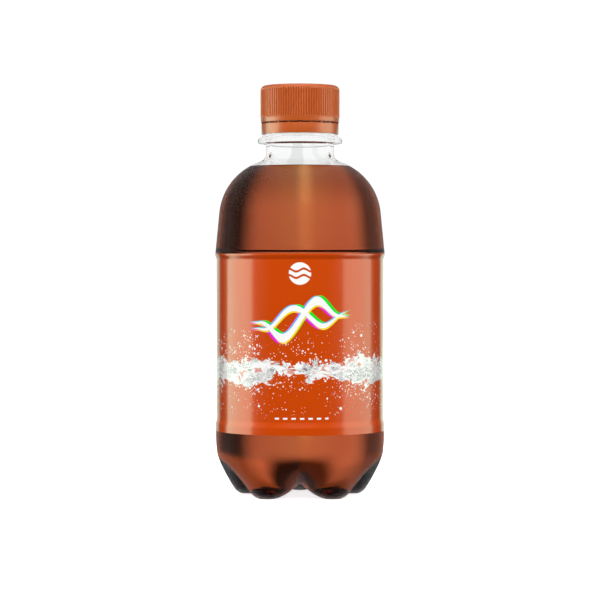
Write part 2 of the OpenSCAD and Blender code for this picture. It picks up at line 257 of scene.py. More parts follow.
def piece_of(name, verts, faces, sharp_angle=40.0):
    """A smooth-shaded object from points in millimetres and faces."""
    mesh = bpy.data.meshes.new(name)
    mesh.from_pydata((np.asarray(verts, float) * MM).tolist(), [], faces)
    mesh.validate()
    mesh.polygons.foreach_set("use_smooth", [True] * len(mesh.polygons))
    mesh.set_sharp_from_angle(angle=math.radians(sharp_angle))
    piece = bpy.data.objects.new(name, mesh)
    bpy.context.scene.collection.objects.link(piece)
    return piece


def skin(rings, start=None, end=None):
    """Points and faces over a stack of rings. start and end are the heights of the points on the
    axis that close it; without them the last ring joins the first. The surface faces outwards when
    an outside outline runs upwards."""
    rows, columns = rings.shape[:2]
    verts = rings.reshape(-1, 3).tolist()
    index = np.arange(rows * columns).reshape(rows, columns)
    here, up = (index, np.roll(index, -1, axis=0)) if start is None else (index[:-1], index[1:])
    quads = np.stack([here, np.roll(here, -1, axis=1), np.roll(up, -1, axis=1), up], axis=2)
    faces = quads.reshape(-1, 4).tolist()
    if start is not None:
        verts += [[0, 0, start], [0, 0, end]]
        pole, top = len(verts) - 2, len(verts) - 1
        first, last = index[0].tolist(), index[-1].tolist()
        faces += [[pole, first[(j + 1) % columns], first[j]] for j in range(columns)]
        faces += [[top, last[j], last[(j + 1) % columns]] for j in range(columns)]
    return verts, faces


def sector(outline, start, sweep, columns):
    """Points and faces of a closed outline swept through part of a turn, with flat ends."""
    angles = np.radians(start + sweep * np.arange(columns + 1) / columns)
    n = len(outline)
    verts = [(r * math.cos(a), r * math.sin(a), z) for a in angles for r, z in outline]
    faces = [[i * n + j, i * n + (j + 1) % n, (i + 1) * n + (j + 1) % n, (i + 1) * n + j]
             for i in range(columns) for j in range(n)]
    faces += [list(range(n))[::-1], [columns * n + j for j in range(n)]]
    return verts, faces


def joined(parts):
    """Several lots of points and faces as one."""
    verts, faces = [], []
    for some_verts, some_faces in parts:
        faces += [[i + len(verts) for i in face] for face in some_faces]
        verts += list(some_verts)
    return verts, faces


def fit(piece, body, node, material):
    """Puts a finished piece on its body in place of the CAD node."""
    piece.data.materials.append(material)
    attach(piece, body)
    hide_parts(node)
    return piece


# ---------------------------------------------------------------- node materials


class Field:
    """A number that varies over a surface, built from Math nodes."""

    def __init__(self, tree, source):
        self.tree, self.source = tree, source

    def op(self, kind, *others):
        node = self.tree.nodes.new("ShaderNodeMath")
        node.operation = kind
        for socket, value in zip(node.inputs, (self,) + others):
            value = value.source if isinstance(value, Field) else value
            if isinstance(value, (int, float)):
                socket.default_value = value
            else:
                self.tree.links.new(value, socket)
        return Field(self.tree, node.outputs[0])

    def __add__(self, other):
        return self.op("ADD", other)

    def __sub__(self, other):
        return self.op("SUBTRACT", other)

    def __mul__(self, other):
        return self.op("MULTIPLY", other)

    def __truediv__(self, other):
        return self.op("DIVIDE", other)

    def __neg__(self):
        return self.op("MULTIPLY", -1.0)

    __radd__, __rmul__ = __add__, __mul__

    def sin(self):
        return self.op("SINE")

    def abs(self):
        return self.op("ABSOLUTE")

    def least(self, other):
        return self.op("MINIMUM", other)

    def most(self, other):
        return self.op("MAXIMUM", other)

    def rise(self, low, high):
        """0 at low and 1 at high, smoothly; low may be the larger."""
        node = self.tree.nodes.new("ShaderNodeMapRange")
        node.interpolation_type = "SMOOTHSTEP"
        self.tree.links.new(self.source, node.inputs["Value"])
        for name, value in (("From Min", low), ("From Max", high)):
            if isinstance(value, Field):
                self.tree.links.new(value.source, node.inputs[name])
            else:
                node.inputs[name].default_value = value
        return Field(self.tree, node.outputs["Result"])

    def window(self, low, high, soft):
        """1 between low and high, fading over soft at each end."""
        return self.rise(low - soft, low) * self.rise(high + soft, high)


class Paint:
    """One node material: a Principled shader, and short ways to feed it."""

    def __init__(self, name):
        self.material = bpy.data.materials.new(name)
        self.material.use_nodes = True
        self.tree = self.material.node_tree
        self.shader = self.tree.nodes["Principled BSDF"]
        self.output = self.tree.nodes["Material Output"]
        self.place = self.tree.nodes.new("ShaderNodeTexCoord").outputs["Object"]

    def set(self, **values):
        for name, value in values.items():
            self.shader.inputs[name.replace("_", " ")].default_value = value

    def feed(self, name, value):
        source = value.source if isinstance(value, Field) else value
        self.tree.links.new(source, self.shader.inputs[name])

    def axes(self):
        """X, Y and Z of the surface point, in millimetres."""
        node = self.tree.nodes.new("ShaderNodeSeparateXYZ")
        self.tree.links.new(self.place, node.inputs[0])
        return [Field(self.tree, out) * (1 / MM) for out in node.outputs]

    def vector(self, x, y, z=0.0):
        node = self.tree.nodes.new("ShaderNodeCombineXYZ")
        for socket, value in zip(node.inputs, (x, y, z)):
            if isinstance(value, Field):
                self.tree.links.new(value.source, socket)
            else:
                socket.default_value = value
        return node.outputs[0]

    def stretched(self, x, y, z):
        """The surface point in millimetres, with each axis scaled."""
        node = self.tree.nodes.new("ShaderNodeMapping")
        self.tree.links.new(self.place, node.inputs["Vector"])
        node.inputs["Scale"].default_value = (x / MM, y / MM, z / MM)
        return node.outputs[0]

    def noise(self, where, scale, detail=2.0, rough=0.5, warp=0.0):
        node = self.tree.nodes.new("ShaderNodeTexNoise")
        self.tree.links.new(where, node.inputs["Vector"])
        node.inputs["Scale"].default_value = scale
        node.inputs["Detail"].default_value = detail
        node.inputs["Roughness"].default_value = rough
        node.inputs["Distortion"].default_value = warp
        return Field(self.tree, node.outputs["Fac"])

    def dots(self, where, scale):
        """Distance to the nearest of scattered points, and a random number for each point."""
        node = self.tree.nodes.new("ShaderNodeTexVoronoi")
        self.tree.links.new(where, node.inputs["Vector"])
        node.inputs["Scale"].default_value = scale
        parts = self.tree.nodes.new("ShaderNodeSeparateColor")
        self.tree.links.new(node.outputs["Color"], parts.inputs[0])
        return Field(self.tree, node.outputs["Distance"]), Field(self.tree, parts.outputs[0])

    def mix(self, share, first, second):
        """first where share is 0 and second where it is 1; each is a colour or a socket."""
        node = self.tree.nodes.new("ShaderNodeMix")
        node.data_type = "RGBA"
        self.tree.links.new(share.source, node.inputs[0])
        for socket, value in ((node.inputs[6], first), (node.inputs[7], second)):
            if isinstance(value, tuple):
                socket.default_value = value + (1.0,)
            else:
                self.tree.links.new(value, socket)
        return node.outputs[2]

    def bump(self, height, depth_mm, strength=1.0):
        node = self.tree.nodes.new("ShaderNodeBump")
        node.inputs["Strength"].default_value = strength
        node.inputs["Distance"].default_value = depth_mm * MM
        self.tree.links.new(height.source, node.inputs["Height"])
        self.tree.links.new(node.outputs[0], self.shader.inputs["Normal"])


def linear(red, green, blue):
    """A colour given as display values from 0 to 255, made linear."""
    return tuple((c / 255 / 12.92) if c <= 10 else ((c / 255 + 0.055) / 1.055) ** 2.4
                 for c in (red, green, blue))


PET_IOR = 1.12  # real PET has 1.57, which draws the neck much darker than the photograph shows it
COLA_IOR = 1.34
COLA_COLOUR, COLA_DENSITY = (0.735, 0.27, 0.0, 1), 58.0  # a metre absorbs density * (1 - colour)
ORANGE = linear(208, 72, 3)
CAP_ORANGE = linear(194, 90, 34)
WHITE = linear(254, 254, 252)


def pet_paint():
    """Clear blown plastic, with the faint waviness that stretching leaves."""
    paint = Paint("pet_clear")
    paint.set(Base_Color=(0.985, 0.995, 0.99, 1), Transmission_Weight=1.0, IOR=PET_IOR,
              Roughness=0.0)
    wave = paint.noise(paint.stretched(1, 1, 0.35), 0.09, 1.0)
    paint.bump(wave, 0.05, 0.25)
    return paint.material


def cola_paint():
    """Clear reddish brown drink: the colour comes from its depth."""
    paint = Paint("cola")
    paint.set(Base_Color=(1, 1, 1, 1), Transmission_Weight=1.0, IOR=COLA_IOR, Roughness=0.0,
              Specular_Tint=(0, 0, 0, 1))
    volume = paint.tree.nodes.new("ShaderNodeVolumeAbsorption")
    volume.inputs["Color"].default_value = COLA_COLOUR
    volume.inputs["Density"].default_value = COLA_DENSITY
    paint.tree.links.new(volume.outputs[0], paint.output.inputs["Volume"])
    ripple = paint.noise(paint.stretched(1, 1, 1), 0.15, 1.0)
    paint.bump(ripple, 0.02, 0.2)
    return paint.material


def cap_paint():
    """Orange moulded polypropylene: satin under a soft sheen, with a slight mottle."""
    paint = Paint("cap_plastic")
    mottle = paint.noise(paint.stretched(1, 1, 1), 0.35, 3.0)
    fine = paint.noise(paint.stretched(1, 1, 1), 6.0, 2.0)
    deep = tuple(c * 0.93 for c in CAP_ORANGE)
    paint.feed("Base Color", paint.mix(mottle.rise(0.3, 0.7), CAP_ORANGE, deep))
    paint.feed("Roughness", mottle * 0.1 + 0.32)
    paint.set(Specular_IOR_Level=0.5, Coat_Weight=1.0, Coat_Roughness=0.3)
    paint.bump(fine, 0.01, 0.1)
    return paint.material


def liner_paint():
    """Soft white seal disc with a matt, slightly pitted face."""
    paint = Paint("liner_plastic")
    pits = paint.noise(paint.stretched(1, 1, 1), 2.5, 3.0)
    pale, deep = linear(240, 238, 230), linear(226, 223, 212)
    paint.feed("Base Color", paint.mix(pits.rise(0.35, 0.65), pale, deep))
    paint.feed("Roughness", pits * 0.2 + 0.45)
    paint.bump(pits, 0.03, 0.4)
    return paint.material


# The printed art, in millimetres on the film: s runs round the label from its front, z is height.
BAND_Z_LOW, BAND_Z_HIGH = 45.8, 53.6  # where the splash crosses the label
EDGE_IN = 1.0  # the splash's mean edges lie this far inside that band
DRIFT_TOP, DRIFT_LOW, RAGGED = 8.0, -6.0, 17.0  # how far slow and quick noise move its edges
SWELL, SWELL_S, SWELL_TOP_S = 1.8, (4.0, 24.0), (-6.0, 12.0)  # it thickens to the sides
EDGE_SOFT = 0.15
# Each layer of drops: how many in a millimetre, and the largest as a share of their spacing.
DROP_LAYERS = ((0.5, 0.55), (0.95, 0.6), (1.6, 0.6))
DROP_REACH = (20.0, 14.0)  # drops thin out between these distances from the splash
RIBBON_Z, RIBBON_HALF = 69.0, 21.5  # middle height and half length of the wave mark
RIBBON_WAVE, RIBBON_SLOPE = 0.235, 0.14
STRANDS = ((0.0, 6.2, 1.75), (2.2, 4.6, 1.15))  # phase, swing and half thickness
FRINGES = (  # offset of each coloured edge of the wave mark, and its colour
    ((-1.15, -0.35), linear(245, 20, 225)), ((1.2, 0.4), linear(25, 228, 45)),
    ((0.3, -0.6), linear(250, 225, 40)), ((-0.45, 0.25), linear(60, 190, 235)))
EMBLEM_Z, EMBLEM_R, EMBLEM_GAPS = 86.3, 4.3, (-1.1, 1.3)
DASH_Z, DASH_PITCH, DASH_RULE_HALF, DASH_HALF_H = 31.6, 3.2, 11.0, 0.4
SHADOW_GREY = linear(62, 64, 70)  # the dark veins in the splash
FILM_BACK = linear(225, 222, 215)  # the unprinted inner face


def label_paint():
    """Glossy orange film, printed with a water splash, an abstract wave and a round emblem."""
    paint = Paint("label_film")
    x, y, z = paint.axes()
    s = x.op("ARCTAN2", -y) * PANEL_R
    flat = paint.vector(s, z)

    splash = splash_band(paint, s, z)
    drops = splash_drops(paint, s, z, flat) * (splash * -1.0 + 1.0)
    dash = (s * (2 * math.pi / DASH_PITCH)).sin().rise(-0.2, 0.1)
    dashes = (z - DASH_Z).abs().rise(DASH_HALF_H, DASH_HALF_H - 0.12)
    dashes = dashes * s.abs().rise(DASH_RULE_HALF, DASH_RULE_HALF - 0.2) * dash

    foam = paint.noise(paint.vector(s * 0.5, z), 0.28, 3.0, 0.6, 2.0)
    shade = paint.noise(flat, 0.16, 2.0)
    vein = (foam - 0.52).abs().rise(0.03, 0.008) + (foam - 0.42).abs().rise(0.03, 0.008)
    grey = (vein * 0.8 + foam.rise(0.4, 0.34) * 0.5).least(1.0) * shade.rise(0.36, 0.56)
    water = paint.mix(grey, WHITE, SHADOW_GREY)
    thin = shade.rise(0.5, 0.4) * foam.rise(0.53, 0.58) * 0.7  # where the film shows through

    tint = paint.noise(paint.stretched(1, 1, 1), 0.03, 1.0)
    film = paint.mix(tint, ORANGE, tuple(c * 0.94 for c in ORANGE))
    for (dx, dz), colour in FRINGES:
        film = paint.mix(ribbon_mark(s, z, dx, dz), film, colour)
    film = paint.mix(splash * (thin * -1.0 + 1.0), film, water)
    film = paint.mix(drops, film, WHITE)
    white_art = ribbon_mark(s, z, 0.0, 0.0).most(emblem_mark(s, z)).most(dashes)
    film = paint.mix(white_art, film, WHITE)

    normal = paint.tree.nodes.new("ShaderNodeNewGeometry").outputs["True Normal"]
    facing = paint.tree.nodes.new("ShaderNodeSeparateXYZ")
    paint.tree.links.new(normal, facing.inputs[0])
    normal_x, normal_y = [Field(paint.tree, out) for out in facing.outputs[:2]]
    inward = (x * normal_x + y * normal_y).rise(0.0, -1.0)
    paint.feed("Base Color", paint.mix(inward, film, FILM_BACK))
    wave = paint.noise(paint.stretched(1, 1, 0.5), 0.12, 2.0)
    paint.feed("Roughness", wave * 0.10 + 0.17)
    paint.set(Specular_IOR_Level=0.5, Coat_Weight=0.5, Coat_Roughness=0.12)
    paint.bump(wave, 0.08, 0.35)
    return paint.material


def splash_band(paint, s, z):
    """The splash: 1 inside a band round the label whose edges are torn."""
    ragged = paint.noise(paint.vector(s * 0.75, z), 0.2, 5.0, 0.66, 0.9)
    drift = paint.noise(paint.vector(s, z * 0.2), 0.05, 1.0)
    swell = s.abs().rise(*SWELL_S) * SWELL
    torn = (ragged - 0.5) * RAGGED
    top = (drift - 0.5) * DRIFT_TOP + torn + swell * s.rise(*SWELL_TOP_S) + BAND_Z_HIGH - EDGE_IN
    bottom = (drift - 0.5) * DRIFT_LOW + torn - swell + BAND_Z_LOW + EDGE_IN
    return (z - bottom).rise(-EDGE_SOFT, EDGE_SOFT) * (top - z).rise(-EDGE_SOFT, EDGE_SOFT)


def splash_drops(paint, s, z, flat):
    """Drops of three sizes, densest close to the splash."""
    spread = paint.noise(flat, 0.11, 2.0)
    near = (z - (BAND_Z_LOW + BAND_Z_HIGH) / 2).abs()
    aside = s.abs().rise(4.0, 18.0)
    drops = None
    for scale, biggest in DROP_LAYERS:
        distance, size = paint.dots(flat, scale)
        crowd = near * 0.02 + 0.56 - spread.rise(0.42, 0.6) * 0.32 - aside * 0.12
        drop_r = (size - crowd).most(0.0).least(0.55) * biggest
        some = (drop_r - distance).rise(-0.01, 0.03) * near.rise(*DROP_REACH)
        drops = some if drops is None else drops.most(some)
    return drops


def ribbon_mark(s, z, dx, dz):
    """The abstract wave: two strands that cross, thick in the middle and thin at their ends."""
    along, height = s - dx, z - dz
    body = (along / RIBBON_HALF).abs().rise(1.0, 0.25)
    mark = None
    for phase, swing, thick in STRANDS:
        centre = (along * RIBBON_WAVE + phase).sin() * swing * body.most(0.25)
        centre = centre + along * RIBBON_SLOPE + RIBBON_Z
        strand = (body * thick - (height - centre).abs()).rise(0.0, 0.12)
        mark = strand if mark is None else mark.most(strand)
    return mark * along.abs().rise(RIBBON_HALF, RIBBON_HALF - 0.5)


def emblem_mark(s, z):
    """A plain round emblem: a disc crossed by two wave-shaped gaps."""
    dz = z - EMBLEM_Z
    reach = (s * s + dz * dz).op("SQRT")
    gaps = None
    for offset in EMBLEM_GAPS:
        gap = ((dz - offset) - (s * 1.1).sin() * 0.55).abs().rise(0.5, 0.38)
        gaps = gap if gaps is None else gaps.most(gap)
    return reach.rise(EMBLEM_R, EMBLEM_R - 0.15) * (gaps * -1.0 + 1.0)


# ---------------------------------------------------------------- pieces

BODY_COLUMNS = 36 * FEET


def make_bottle():
    """The blown bottle: feet, ridges, shoulder, neck ring and threaded finish, inside and out."""
    columns = BODY_COLUMNS
    outside = base_rings(columns, 0)
    outside[..., 2] = np.maximum(outside[..., 2], 0)
    body = revolve(dense(BODY_LINE[1:], 6), columns)
    shoulder = revolve(SHOULDER_LINE[1:] + FLARE_LINE + NECK_LINE, columns)
    thread_low, thread_top = THREAD_ZONE
    thread = revolve(line((FINISH_R, thread_low + 0.1), (FINISH_R, thread_top), 52), columns)
    radius, angle, height = polar(thread)
    crest = thread_height(angle, height, THREAD_START_Z, THREAD_TURNS, *BOTTLE_THREAD)
    thread = with_radius(thread, radius + (THREAD_R - FINISH_R) * crest)
    inside = revolve(MOUTH_LINE + bore_line(0), columns)
    under = base_rings(columns, 1)[::-1][1:]
    rings = np.concatenate([outside, body, shoulder, thread, inside, under])
    verts, faces = skin(rings, POLE_Z, under[-1][0][2])
    return piece_of("pet_bottle", verts, faces)


LIQUID_BITE = 0.15  # the drink reaches this far into the wall, so that light meets no air gap
MENISCUS = 0.9  # how far the drink's surface creeps up the wall


def make_drink():
    """The drink, up to its surface, which creeps up the wall."""
    columns = BODY_COLUMNS
    low = base_rings(columns, 1, -LIQUID_BITE)
    wall = [p for p in reversed(bore_line(-LIQUID_BITE)) if BASE_TOP < p[1] < FILL_Z]
    heights, radii = zip(*[(z, r) for r, z in reversed(bore_line(-LIQUID_BITE))])
    edge_r = float(np.interp(FILL_Z, heights, radii))
    surface = [(edge_r - MENISCUS * 2 * t, FILL_Z - MENISCUS * (1 - (1 - t) ** 2))
               for t in np.linspace(0, 1, 7)]
    surface += line((surface[-1][0], surface[-1][1]), (1.0, FILL_Z - MENISCUS), 5)[1:]
    rings = np.concatenate([low, revolve(wall, columns), revolve(surface, columns)])
    verts, faces = skin(rings, low[0][0][2], FILL_Z - MENISCUS)
    return piece_of("cola_drink", verts, faces)


LAP_ANGLE, LAP_EDGE_ANGLE = 7.0, 0.5  # degrees that the film laps over itself, and its step
FILM_GAP, FILM_MARGIN = 0.01, 0.02  # kept free between bottle and film, and inside the CAD box


def make_label():
    """The shrink sleeve, which follows the body's contour and laps over itself at the back."""
    columns = 360
    body = [p for p in dense(BODY_LINE, 0.9) if LABEL_LOW_Z < p[1] < LABEL_TOP_Z]
    body = [(RIDGE_R, LABEL_LOW_Z)] + body + [(LIP_R, LABEL_TOP_Z)]
    inner = revolve([(r + FILM_GAP, z) for r, z in body], columns)
    outer = revolve([(r + LABEL_T - FILM_MARGIN, z) for r, z in body], columns)
    radius, angle, height = polar(outer)
    lapped = 1 - eased(np.abs(angle - 90), LAP_ANGLE / 2 - LAP_EDGE_ANGLE, LAP_ANGLE / 2)
    outer = with_radius(outer, radius + lapped * LABEL_T * 0.9)
    verts, faces = skin(np.concatenate([outer, inner[::-1]]))
    return piece_of("label_film_sleeve", verts, faces, 60)


CAP_EDGE_R, DISH_DEPTH, GATE_DEPTH = 2.0, 0.1, 0.16
RIB_COLUMNS = 8  # points across one rib and its groove
RIB_LOW_Z, RIB_TOP_Z = SKIRT_Z + 1.7, CAP_TOP_Z - 1.0


def ribbed(rings):
    """Cuts the grooves between the ribs into the cap's side, with round lower ends."""
    radius, angle, height = polar(rings)
    phase = ((angle - FRONT) * RIBS / 360) % 1
    groove = np.abs(phase - 0.5) * 2  # 0 in the middle of a groove and 1 on a rib
    depth = 1 - eased(groove, 0.05, 0.72)
    end = 0.55 * groove ** 2
    depth = depth * eased(height, RIB_LOW_Z + end, RIB_LOW_Z + end + 0.3)
    depth = depth * (1 - eased(height, RIB_TOP_Z - 1.0, RIB_TOP_Z))
    return with_radius(rings, radius - RIB_DEPTH * depth)


def make_cap():
    """The screw cap: ribbed skirt, rounded top with a shallow dish and the mark of the gate in its
    middle, and the inner thread."""
    columns = RIBS * RIB_COLUMNS
    plain_r = CAP_R - 0.1
    skirt = rounded([
        (CAP_IN_R, SKIRT_Z + 0.5, 0), (CAP_IN_R, SKIRT_Z, 0.12), (plain_r, SKIRT_Z, 0.15),
        (plain_r, RIB_LOW_Z, 0.1), (CAP_R, RIB_LOW_Z + 0.15, 0.1), (CAP_R, RIB_LOW_Z + 0.5, 0)])
    side = line((CAP_R, RIB_LOW_Z + 0.6), (CAP_R, CAP_TOP_Z - CAP_EDGE_R - 0.1), 24)
    edge = arc(CAP_R - CAP_EDGE_R, CAP_TOP_Z - CAP_EDGE_R, CAP_EDGE_R, 0, 90, 12)
    dish_z, gate_z = CAP_TOP_Z - DISH_DEPTH, CAP_TOP_Z - GATE_DEPTH
    dish = [(12.6, CAP_TOP_Z), (12.2, CAP_TOP_Z - 0.06), (11.8, dish_z), (6, dish_z),
            (1.6, dish_z), (1.3, gate_z), (0.6, gate_z)]
    outside = ribbed(revolve(skirt[1:] + side + edge + dish, columns))
    inner = revolve(line((CAP_IN_R, LINER_TOP_Z - 0.6), (CAP_IN_R, SKIRT_Z + 0.6), 50), columns)
    radius, angle, height = polar(inner)
    crest = thread_height(
        angle, height, THREAD_START_Z - CAP_THREAD_DROP, CAP_THREAD_TURNS, *CAP_THREAD)
    inner = with_radius(inner, radius - (CAP_IN_R - CAP_THREAD_R) * crest)
    ceiling = revolve([(1, LINER_TOP_Z), (8, LINER_TOP_Z), (CAP_IN_R - 0.4, LINER_TOP_Z),
                       (CAP_IN_R - 0.1, LINER_TOP_Z - 0.15)], columns)
    rings = np.concatenate([ceiling, inner, outside])
    verts, faces = skin(rings, LINER_TOP_Z, gate_z)
    return piece_of("screw_cap", verts, faces)


def make_liner():
    """The seal disc, whose middle sits a little deeper than its rim."""
    top, low = LINER_TOP_Z, MOUTH_Z
    outline = rounded([
        (1.0, low, 0), (10.2, low, 0.1), (10.5, low + 0.08, 0.1), (LINER_R, low + 0.08, 0.12),
        (LINER_R, top, 0.12), (1.0, top, 0)])
    verts, faces = skin(revolve(outline, 120), low, top)
    return piece_of("seal_liner", verts, faces)


def make_band():
    """The tamper band, with its fold-in fingers below the bead of the finish."""
    hoop = rounded([
        (CAP_IN_R, BAND_Z + 0.25, 0), (CAP_IN_R + 0.25, BAND_Z, 0.1), (BAND_R, BAND_Z, 0.15),
        (BAND_R, BAND_TOP_Z, 0.12), (CAP_IN_R, BAND_TOP_Z, 0.1), (CAP_IN_R, BAND_Z + 1, 0)])
    parts = [skin(revolve(hoop, 240))]
    finger = [
        (CAP_IN_R + 0.15, BAND_Z + 0.35), (CAP_IN_R + 0.15, BAND_Z + 1.2),
        (CAP_IN_R - 0.2, BAND_Z + 1.5), (13.2, BAND_Z + 3.4), (13.0, BAND_Z + 3.45),
        (12.85, BAND_Z + 3.3), (13.6, BAND_Z + 0.8), (13.8, BAND_Z + 0.5)]
    for i in range(FINGERS):
        parts.append(sector(finger, 360 * i / FINGERS, 240 / FINGERS, 6))
    verts, faces = joined(parts)
    return piece_of("tamper_ring", verts, faces)


BRIDGE_W, BRIDGE_T, BRIDGE_WAIST = 0.55, 0.45, 0.62  # the waist is a share of the width


def make_bridges():
    """The frangible bridges: small posts, waisted where they snap."""
    parts = []
    levels = np.linspace(BAND_TOP_Z, SKIRT_Z, 7)
    for i in range(BRIDGES):
        a = math.radians(FRONT + 360 * i / BRIDGES)
        out = np.array((math.cos(a), math.sin(a)))
        side = np.array((-math.sin(a), math.cos(a)))
        verts, faces = [], []
        for k, z in enumerate(levels):
            t = 2 * k / (len(levels) - 1) - 1
            half = BRIDGE_W / 2 * (BRIDGE_WAIST + (1 - BRIDGE_WAIST) * t * t)
            for u, v in ((-1, -half), (1, -half), (1, half), (-1, half)):
                spot = out * (BAND_R - 0.05 - BRIDGE_T / 2 + u * BRIDGE_T / 2) + side * v
                verts.append((spot[0], spot[1], z))
        for k in range(len(levels) - 1):
            faces += [[4 * k + j, 4 * k + (j + 1) % 4, 4 * k + 4 + (j + 1) % 4, 4 * k + 4 + j]
                      for j in range(4)]
        last = 4 * (len(levels) - 1)
        faces += [[3, 2, 1, 0], [last, last + 1, last + 2, last + 3]]
        parts.append((verts, faces))
    verts, faces = joined(parts)
    return piece_of("frangible_bridges", verts, faces)


cap_plastic = cap_paint()
fit(make_bottle(), "bottle", "bottle", pet_paint())
fit(make_drink(), "bottle", "drink", cola_paint())
opaque = [
    fit(make_label(), "bottle", "label_sleeve", label_paint()),
    fit(make_cap(), "cap", "cap_shell", cap_plastic),
    fit(make_band(), "tamper_band", "tamper_band", cap_plastic),
    fit(make_bridges(), "tamper_band", "tamper_bridges", cap_plastic)]
fit(make_liner(), "liner", "cap_liner", liner_paint())

# ---------------------------------------------------------------- studio


# The world's brightness for each kind of ray. Turns and lifts are degrees: turn 0 points to the
# camera, 180 behind the bottle. A pair gives where a zone begins and where it is full.
SEEN, MATT, BEHIND_DRINK = 1.05, 0.02, 1.5
CLEAR, CLEAR_LOSS = 0.98, 0.12  # through the neck, and what a reflection inside it takes away
DRINK_FACES = (4.4, 4.6)  # a ray that has crossed more faces than this has been through the drink
DRINK_LOSS = 0.6  # what a reflection inside the drink takes away
BELOW = (-79.0, -70.0)
MIDDLE, MIDDLE_TOP = (164.0, 174.0), (8.5, 0.0)  # straight behind
OUTER_TOP, OUTER_SHADE = (26.0, 14.0), (14.0, 4.0)  # beside it, where half the light ends lower
BACK_LEFT, BACK_RIGHT, BACK_LOW = (152.0, 167.0), (145.0, 161.0), (-20.0, 0.0)
FRONT_ZONE = (38.0, 24.0)
SIDES, SIDES_END, SIDES_LIGHT = (140.0, 105.0), (44.0, 56.0), 0.6
FEET_TURN, FEET_LOW, FEET_TOP = (90.0, 110.0), (3.0, 9.0), (60.0, 35.0)
FEET_LIGHT, FEET_LEFT = 0.15, 0.35  # the second is added on the left
GAP, GAP_RIGHT, INNER_RIM = 0.05, 0.12, 0.28  # the least amber light, more of it on the right
GLOW_TURN, GLOW_LIGHT = (162.0, 180.0), 0.45
STREAK_X, STREAK_HALF, STREAK_Y, STREAK_TOP = 0.03, 0.08, (0.6, 0.8), (2.0, -9.0)
STREAK_LIGHT = 0.85
MIRROR, MIRROR_BACK, MIRROR_SIDES, MIRROR_SOFT = 0.2, (140.0, 150.0), (68.0, 118.0), 6.0
MIRROR_TOP, MIRROR_TOP_LIGHT, MIRROR_LEAST = (50.0, 75.0), 0.8, 0.03
GLOW_COLOUR, RIM_COLOUR = (0.45, 1.25, 1.05, 1), (1.0, 0.62, 0.22, 1)


def studio_world():
    """The surroundings, with a different brightness for each kind of ray: white for the camera,
    almost none for matt surfaces, cards for reflections, and for rays that have been through the
    drink a set of zones that draw its dark sides, amber rims and pale middle. They were tuned
    against the photograph and are fixed to the bottle, not to the camera."""
    world = bpy.data.worlds.new("studio")
    bpy.context.scene.world = world
    world.use_nodes = True
    world.cycles.sampling_method = "NONE"
    tree = world.node_tree
    tree.nodes.clear()
    where = tree.nodes.new("ShaderNodeTexCoord").outputs["Generated"]
    split = tree.nodes.new("ShaderNodeSeparateXYZ")
    tree.links.new(where, split.inputs[0])
    x, y, z = [Field(tree, out) for out in split.outputs]
    turn = x.op("ARCTAN2", -y) * (180 / math.pi)
    lift = z.op("ARCSINE") * (180 / math.pi)
    around = turn.abs()
    # the drink works as a lens that swaps left and right
    left, right = turn.rise(-1.0, 1.0), turn.rise(1.0, -1.0)

    path = tree.nodes.new("ShaderNodeLightPath").outputs
    seen, bent, turned, dull = [Field(tree, path[name]) for name in (
        "Is Camera Ray", "Is Transmission Ray", "Is Reflection Ray", "Is Diffuse Ray")]
    crossed = Field(tree, path["Transmission Depth"]).rise(*DRINK_FACES)
    bounced = Field(tree, path["Glossy Depth"]).rise(0.4, 0.6)
    inside = Field(tree, path["Diffuse Depth"]).rise(0.4, 0.6)  # light for faces behind the drink
    through_drink = crossed * bent * (bounced * -DRINK_LOSS + 1.0)

    # the bright zones seen through the drink
    middle = around.rise(*MIDDLE)
    beside = middle * -1.0 + 1.0
    outer = lift.rise(*OUTER_TOP) * (lift.rise(*OUTER_SHADE) * 0.5 + 0.5)
    level = lift.rise(*BELOW) * (middle * lift.rise(*MIDDLE_TOP) + beside * outer)
    back = around.rise(*BACK_LEFT) * left + around.rise(*BACK_RIGHT) * right
    back = back * (lift.rise(*BACK_LOW) * 0.5 + 0.5)
    drink = (back + around.rise(*FRONT_ZONE)) * level

    # amber light for the rims and the feet
    sides = around.rise(*SIDES) * around.rise(*SIDES_END)
    feet = around.rise(*FEET_TURN) * lift.rise(*FEET_LOW) * lift.rise(*FEET_TOP) * beside
    gap = right * GAP_RIGHT + GAP
    rims = sides * level * SIDES_LIGHT + feet * (left * FEET_LEFT + FEET_LIGHT) + gap
    rims = rims * through_drink + bounced * crossed * bent * INNER_RIM

    # greenish light that turns the red of the middle into tan
    streak = (x + STREAK_X).abs().rise(STREAK_HALF, 0.0) * y.rise(*STREAK_Y)
    streak = streak * lift.rise(*STREAK_TOP) * STREAK_LIGHT
    glow = (around.rise(*GLOW_TURN) * GLOW_LIGHT + streak) * level
    glow = glow * through_drink * (bounced * -1.0 + 1.0)

    clear = bounced * -CLEAR_LOSS + CLEAR
    through = through_drink * drink + (crossed * -1.0 + 1.0) * clear
    through = through * (inside * -1.0 + 1.0) + inside * BEHIND_DRINK
    cards = around.rise(*MIRROR_BACK) * MIRROR + around.window(*MIRROR_SIDES, MIRROR_SOFT) * MIRROR
    mirror = cards + lift.rise(*MIRROR_TOP) * MIRROR_TOP_LIGHT + MIRROR_LEAST
    white = seen * SEEN + bent * through + dull * MATT + turned * (dull * -1.0 + 1.0) * mirror

    total = None
    for strength, colour in ((white, (1, 1, 1, 1)), (glow, GLOW_COLOUR), (rims, RIM_COLOUR)):
        layer = tree.nodes.new("ShaderNodeBackground")
        layer.inputs["Color"].default_value = colour
        tree.links.new(strength.source, layer.inputs["Strength"])
        if total is None:
            total = layer
            continue
        both = tree.nodes.new("ShaderNodeAddShader")
        tree.links.new(total.outputs[0], both.inputs[0])
        tree.links.new(layer.outputs[0], both.inputs[1])
        total = both
    out = tree.nodes.new("ShaderNodeOutputWorld")
    tree.links.new(total.outputs[0], out.inputs[0])


